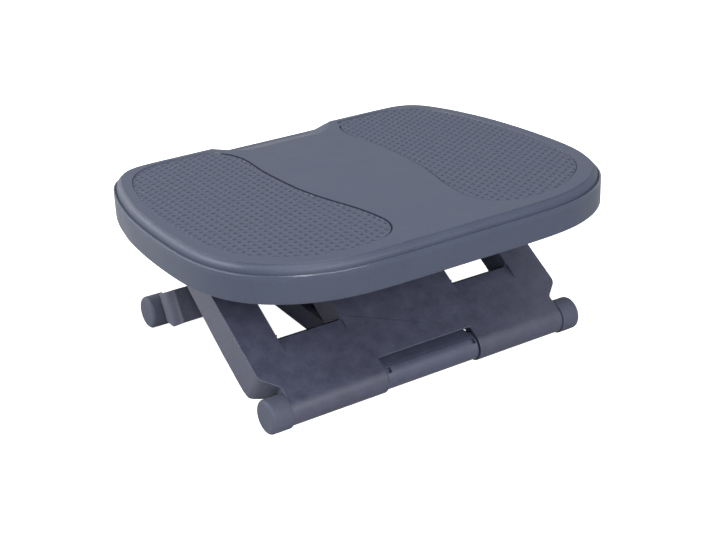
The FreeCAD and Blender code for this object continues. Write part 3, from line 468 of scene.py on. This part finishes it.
# ridged net of the foot areas
for sign in (1, -1):
    last2, last_idx = pad_rings[sign][2], pad_rings[sign][3]
    du, dv = PITCH_U / 10, PITCH_V / 14
    us = np.arange(40, 212, du) + 0.02
    vs = np.arange(-156, 166, dv) + 0.01
    g = np.stack(np.meshgrid(sign * us, vs), -1).reshape(-1, 2)
    g = g[inside(g, last2)]
    e = distance(g, last2)
    g, e = g[e > 0.45], e[e > 0.45]
    au = np.abs(g[:, 0]) - 166.6
    av = g[:, 1] + 72.2
    i = np.round(au / PITCH_U)
    best = None
    for di in (-1, 0, 1):
        col = i + di
        off = np.where(np.mod(col, 2) == 1, PITCH_V / 2, 0.0)
        j = np.round((av - off) / PITCH_V)
        x = np.abs(au - col * PITCH_U) / PIT_U
        y = np.abs(av - off - j * PITCH_V) / PIT_V
        m = (x ** 1.7 + y ** 1.7) ** (1 / 1.7)
        best = m if best is None else np.minimum(best, m)
    pit = 1 - smoothstep(0.48, 0.98, best)
    fade = smoothstep(0.2, 1.2, e)
    w = 33.8 + 0.12 * smoothstep(1.0, 1.35, best) * fade - 1.8 * pit * fade
    w = w - ramp_drop(g[:, 0], g[:, 1])
    gi = b.add(to_row(g[:, 0], g[:, 1], w))
    pts2 = np.concatenate([last2, g])
    ids = np.concatenate([last_idx, gi])
    kind = np.concatenate([np.zeros(len(last2)), np.ones(len(g))]).astype(int)
    tri = triangulate(pts2)
    bad = (kind[tri] == 0).all(1) & ~inside(pts2[tri].mean(1), last2)
    b.f += [tuple(int(x) for x in ids[t]) for t in tri[~bad]]

# underside: wall, ledge over the shoulder, deeper middle with ribs
in3 = inset_ring(pos, tan, 3.0)
hi2 = inset_ring(pos, tan, 11.0)
cut = np.where(np.abs(hi2[:, 0]) < 88, 118.0, 118 + (np.abs(hi2[:, 0]) - 88) * 2.2)
hi2[:, 1] = np.where(hi2[:, 1] > 118, np.minimum(hi2[:, 1], cut), hi2[:, 1])
lows = [rings[0]]
for off, w in ((0.0, 2.0), (0.0, 8.0), (0.0, 15.0), (0.0, 21.6), (0.12, 22.4), (0.5, 23.0), (1.1, 23.2)):
    r2 = inset_ring(pos, tan, 3.0 + off)
    lows.append(b.add(to_row(r2[:, 0], r2[:, 1], np.full(RING, w))))
mid2 = inset_ring(pos, tan, 4.6)
for f_, w in ((0.0, 23.2), (1.0, 23.2), (1.0, 24.0), (1.0, 30.6)):
    r2 = mid2 * (1 - f_) + hi2 * f_
    lows.append(b.add(to_row(r2[:, 0], r2[:, 1], np.full(RING, w))))
ctr = np.array([0.0, -20.0])
r2 = hi2 + (ctr - hi2) / np.linalg.norm(ctr - hi2, axis=1)[:, None] * 0.8
lows.append(b.add(to_row(r2[:, 0], r2[:, 1], np.full(RING, 31.4))))
for a_, b_ in zip(lows, lows[1:]):
    b.strip(a_, b_, flip=True)
b.f.append(tuple(int(i) for i in lows[-1][::-1]))
platform = make_object("platform_top", b.points(), b.f, 38.0)
dress(platform, top_mat, "platform", ["platform_shell"])
platform.data.materials.append(lip_mat)
lip_nt = lip_mat.node_tree
lip_bsdf = next(n for n in lip_nt.nodes if n.type == "BSDF_PRINCIPLED")
lip_tc = lip_nt.nodes.new("ShaderNodeTexCoord")
lip_xyz = lip_nt.nodes.new("ShaderNodeSeparateXYZ")
lip_nt.links.new(lip_tc.outputs["Object"], lip_xyz.inputs["Vector"])
lip_ramp = lip_nt.nodes.new("ShaderNodeMapRange")
lip_ramp.inputs["From Min"].default_value = -0.212
lip_ramp.inputs["From Max"].default_value = -0.186
lip_ramp.inputs["To Min"].default_value = 0.62
lip_ramp.inputs["To Max"].default_value = 0.22
lip_nt.links.new(lip_xyz.outputs["X"], lip_ramp.inputs["Value"])
lip_nt.links.new(lip_ramp.outputs["Result"], lip_bsdf.inputs["Roughness"])
lip_from = (len(skirt)) * RING
lip_to = (len(skirt) + 1 + len(LIP)) * RING
for poly in platform.data.polygons[lip_from:lip_to]:
    poly.material_index = 1
# the step between the foot areas and the smooth middle lies in shade
crease_mat = moulded("platform_crease_shaded", (0.0095, 0.0115, 0.021), rough=0.7, grain=1500, grain_depth=0.00003, mottle=0.05, specular=0.08)
platform.data.materials.append(crease_mat)
for first, last in creases:
    for poly in platform.data.polygons[first:last]:
        if abs(poly.center.x) < 0.0735:
            poly.material_index = 2


def bevelled(bm, width, segments, angle=25.0):
    edges = [e for e in bm.edges if len(e.link_faces) == 2 and e.calc_face_angle(0) > math.radians(angle)]
    bmesh.ops.bevel(bm, geom=edges, offset=width, segments=segments, profile=0.5, affect="EDGES", clamp_overlap=True)


def bars(name, boxes, place, bevel=0.4, angle=38.0):
    """Several rounded bars in one mesh; place turns local points into the row frame."""
    bm = bmesh.new()
    for (x0, y0, z0), (x1, y1, z1) in boxes:
        tmp = bmesh.new()
        bmesh.ops.create_cube(tmp, size=1.0)
        for v in tmp.verts:
            v.co = Vector((x0 + (v.co.x + 0.5) * (x1 - x0), y0 + (v.co.y + 0.5) * (y1 - y0), z0 + (v.co.z + 0.5) * (z1 - z0)))
        bevelled(tmp, bevel, 2)
        me = bpy.data.meshes.new("tmp")
        tmp.to_mesh(me)
        bm.from_mesh(me)
        tmp.free()
        bpy.data.meshes.remove(me)
    co = np.array([v.co for v in bm.verts])
    fc = [[v.index for v in f.verts] for f in bm.faces]
    bm.free()
    return make_object(name, place(co), fc, angle)


def platform_place(co):
    return to_row(co[:, 0], co[:, 1], co[:, 2])


rib_boxes = [((x - 1.1, -150, 28.6), (x + 1.1, 116, 31.6)) for x in (-150, -100, -50, 0, 50, 100, 150)]
rib_boxes += [((-180, y - 1.1, 28.6), (180, y + 1.1, 31.6)) for y in (-120, -70, -22, 28, 72)]
ribs = bars("platform_ribs", rib_boxes, platform_place)
dress(ribs, top_mat, "platform")

# --------------------------------------------- moulded pieces from the frame
def soft_edged(node, name, width, segments=3, angle=24.0, dissolve=0.4):
    """The node's own shape with rounded edges, as moulded."""
    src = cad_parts[node]
    bm = bmesh.new()
    bm.from_mesh(src.data)
    bmesh.ops.remove_doubles(bm, verts=bm.verts, dist=2e-6)
    bmesh.ops.dissolve_limit(bm, angle_limit=math.radians(dissolve), use_dissolve_boundaries=False, verts=bm.verts, edges=bm.edges)
    bmesh.ops.recalc_face_normals(bm, faces=bm.faces)
    me = bpy.data.meshes.new(name)
    bm.to_mesh(me)
    bm.free()
    me.polygons.foreach_set("use_smooth", [True] * len(me.polygons))
    ob = bpy.data.objects.new(name, me)
    scene.collection.objects.link(ob)
    if width > 0:
        mod = ob.modifiers.new("edges", "BEVEL")
        mod.width = width * MM
        mod.segments = segments
        mod.limit_method = "ANGLE"
        mod.angle_limit = math.radians(angle)
        mod.use_clamp_overlap = False
        mod.harden_normals = True
        mod.miter_outer = "MITER_ARC"
    wn = ob.modifiers.new("shade", "WEIGHTED_NORMAL")
    wn.keep_sharp = True
    wn.weight = 80
    return ob


front_panel = soft_edged("front_leg", "front_leg_panel", 0.8)
# the outer flanges are deepest in their lower half, down to the rounded toe
to_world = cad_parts["front_leg"].matrix_world.copy()
to_local = to_world.inverted()
LEAN = math.radians(30.0)
for v in front_panel.data.vertices:
    p = to_world @ v.co
    dy, dz = p.y * 1000 + 116.2, p.z * 1000 - 16.6
    along = dy * math.cos(LEAN) + dz * math.sin(LEAN)
    deep = -dy * math.sin(LEAN) + dz * math.cos(LEAN)
    side = float(np.interp(along, [17.0, 31.4], [159.3, 175.5])) - (4.5 if along < 36 else 3.2)
    now = float(np.interp(along, [22.2, 34.0, 45.5, 84.0, 208.0], [-3.0, -14.4, -20.8, -16.5, -17.2]))
    want = float(np.interp(along, [22.2, 32.0, 42.0, 140.0, 208.0], [-10.8, -20.5, -23.8, -23.8, -17.2]))
    start = float(np.interp(along, [22.0, 45.0], [-1.0, -5.5]))
    if 20.0 < along < 206.0 and deep < start and abs(p.x) * 1000 > side:
        deep = start + (deep - start) * (want - start) / (now - start)
        p.y = (along * math.cos(LEAN) - deep * math.sin(LEAN) - 116.2) / 1000
        p.z = (along * math.sin(LEAN) + deep * math.cos(LEAN) + 16.6) / 1000
        v.co = to_local @ p
dress(front_panel, leg_mat, "front_leg", ["front_leg"])
dress(soft_edged("rear_leg", "rear_leg_panel", 0.8), leg_mat, "rear_leg", ["rear_leg"])
dress(soft_edged("base_link", "base_link_strut", 0.6), link_mat, "base_link", ["base_link"])
dress(soft_edged("tilt_carrier", "tilt_carrier_frame", 0.6), carrier_shade_mat, "carrier", ["tilt_carrier"])


def lathe(name, profile, at, flip=1, steps=112, angle=40.0):
    """Closed (along, radius) profile turned about the X axis through at."""
    b = Builder()
    loops = []
    m = len(profile)
    th = np.linspace(0, 2 * np.pi, steps, endpoint=False)
    for a, r in profile:
        x = np.full(steps, at[0] + flip * a)
        loops.append(b.add(np.stack([x, at[1] + r * np.cos(th), at[2] + r * np.sin(th)], 1)))
    for i in range(m - 1):
        b.strip(loops[i], loops[i + 1], flip=flip < 0)
    b.f.append(tuple(int(i) for i in (loops[-1] if flip > 0 else loops[-1][::-1])))
    b.f.append(tuple(int(i) for i in (loops[0][::-1] if flip > 0 else loops[0])))
    return make_object(name, b.points(), b.f, angle)


def arc(cx, cy, r, a0, a1, n):
    return [(cx + r * math.cos(math.radians(a0 + (a1 - a0) * i / n)), cy + r * math.sin(math.radians(a0 + (a1 - a0) * i / n))) for i in range(n + 1)]


CAP_PROFILE = [(17.9, 0.6), (17.9, 11.03), (0.3, 11.03), (0.0, 11.4), (0.0, 15.3)] + arc(1.0, 15.6, 1.0, 180, 90, 4) + \
    [(6, 16.6), (12, 16.6)] + arc(17.9, 12.9, 3.7, 90, 0, 10) + [(21.6, 8.0), (21.6, 0.6)]
for node, sign, y in (("front_left_cap", -1, -116.2), ("front_right_cap", 1, -116.2), ("rear_left_cap", -1, 122.8), ("rear_right_cap", 1, 122.8)):
    body = "front_leg" if node.startswith("front") else "rear_leg"
    cap = lathe(node + "_foot", CAP_PROFILE, (sign * 159.4, y, 16.6), sign)
    dress(cap, cap_mat, body, [node])

# small parts keep their own shape and get their finish
finish = {
    "steel": (steel_mat, ["front_axle_rod", "rear_axle_rod", "cross_pivot_rod", "heel_rod", "toe_rod", "cross_rod_clips", "heel_rod_clips",
                          "toe_rod_clips", "bracket_screws", "tilt_pivot_bolts", "tilt_lock_nuts"]),
    "nylon": (nylon_mat, ["hub_bushings", "heel_rod_sleeves", "toe_rod_sleeves", "tilt_friction_washers"]),
    "bracket": (bracket_mat, ["tilt_bracket_left", "tilt_bracket_right"]),
}
for mat, nodes in finish.values():
    for n in nodes:
        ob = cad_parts[n]
        if not ob.material_slots:
            ob.data.materials.append(mat)
        for s in ob.material_slots:
            s.link = "OBJECT"
            s.material = mat

# -------------------------------------------------------------- studio
def flat_material(name, colour, rough):
    mat, nt, bsdf = node_tree(name)
    noise = nt.nodes.new("ShaderNodeTexNoise")
    noise.inputs["Scale"].default_value = 3.0
    ramp = nt.nodes.new("ShaderNodeValToRGB")
    ramp.color_ramp.elements[0].color = tuple(c * 0.985 for c in colour) + (1,)
    ramp.color_ramp.elements[1].color = tuple(colour) + (1,)
    nt.links.new(noise.outputs["Fac"], ramp.inputs["Fac"])
    nt.links.new(ramp.outputs["Color"], bsdf.inputs["Base Color"])
    bsdf.inputs["Roughness"].default_value = rough
    bsdf.inputs["Specular IOR Level"].default_value = 0.1
    # a light table: it glows for the camera only
    path = nt.nodes.new("ShaderNodeLightPath")
    glow = nt.nodes.new("ShaderNodeMapRange")
    glow.inputs["To Min"].default_value = 0.0
    glow.inputs["To Max"].default_value = 0.97
    nt.links.new(path.outputs["Is Camera Ray"], glow.inputs["Value"])
    bsdf.inputs["Emission Color"].default_value = (1.0, 1.0, 1.0, 1.0)
    nt.links.new(glow.outputs["Result"], bsdf.inputs["Emission Strength"])
    return mat


me = bpy.data.meshes.new("studio_floor")
s = 7.0
me.from_pydata([(-s, -s, 0), (s, -s, 0), (s, s, 0), (-s, s, 0)], [], [(0, 1, 2, 3)])
floor = bpy.data.objects.new("studio_floor", me)
scene.collection.objects.link(floor)
floor.data.materials.append(flat_material("pale_floor", (0.5, 0.5, 0.5), 0.9))

world = bpy.data.worlds.new("studio")
scene.world = world
world.use_nodes = True
bg = world.node_tree.nodes["Background"]
bg.inputs["Color"].default_value = (0.97, 0.98, 1.0, 1)
bg.inputs["Strength"].default_value = 0.85


def area(name, loc, target, size, power, colour=(1, 1, 1)):
    data = bpy.data.lights.new(name, "AREA")
    data.shape = "RECTANGLE"
    data.size, data.size_y = size
    data.energy = power
    data.color = colour
    ob = bpy.data.objects.new(name, data)
    scene.collection.objects.link(ob)
    ob.location = loc
    ob.rotation_euler = (Vector(target) - Vector(loc)).to_track_quat("-Z", "Y").to_euler()
    return ob


area("top_box", (-0.25, -0.45, 2.3), (0, 0, 0.1), (0.5, 0.5), 28)
area("key_left", (-1.95, 0.9, 1.5), (0, 0, 0.1), (0.9, 0.9), 62)
area("back_left", (-0.9, 2.3, 1.0), (0, 0, 0.1), (1.4, 0.9), 22)
area("front_high", (0.1, -2.3, 1.35), (0, 0, 0.1), (1.2, 0.7), 42)
area("lip_strip", (-1.05, -2.2, 1.2), (-0.15, -0.15, 0.15), (0.3, 1.1), 32)

scene.view_settings.view_transform = "Standard"
scene.view_settings.look = "None"

cam_data = bpy.data.cameras.new("camera")
cam = bpy.data.objects.new("camera", cam_data)
scene.collection.objects.link(cam)
cam.location = (-0.7048, -1.0488, 0.7018)
cam.rotation_euler = (math.radians(90 - 26.69), 0, -math.radians(33.82))
cam_data.sensor_width = 36.0
cam_data.lens = 1401.9 / 716 * 36.0
cam_data.clip_start = 0.02
cam_data.clip_end = 60
scene.camera = cam
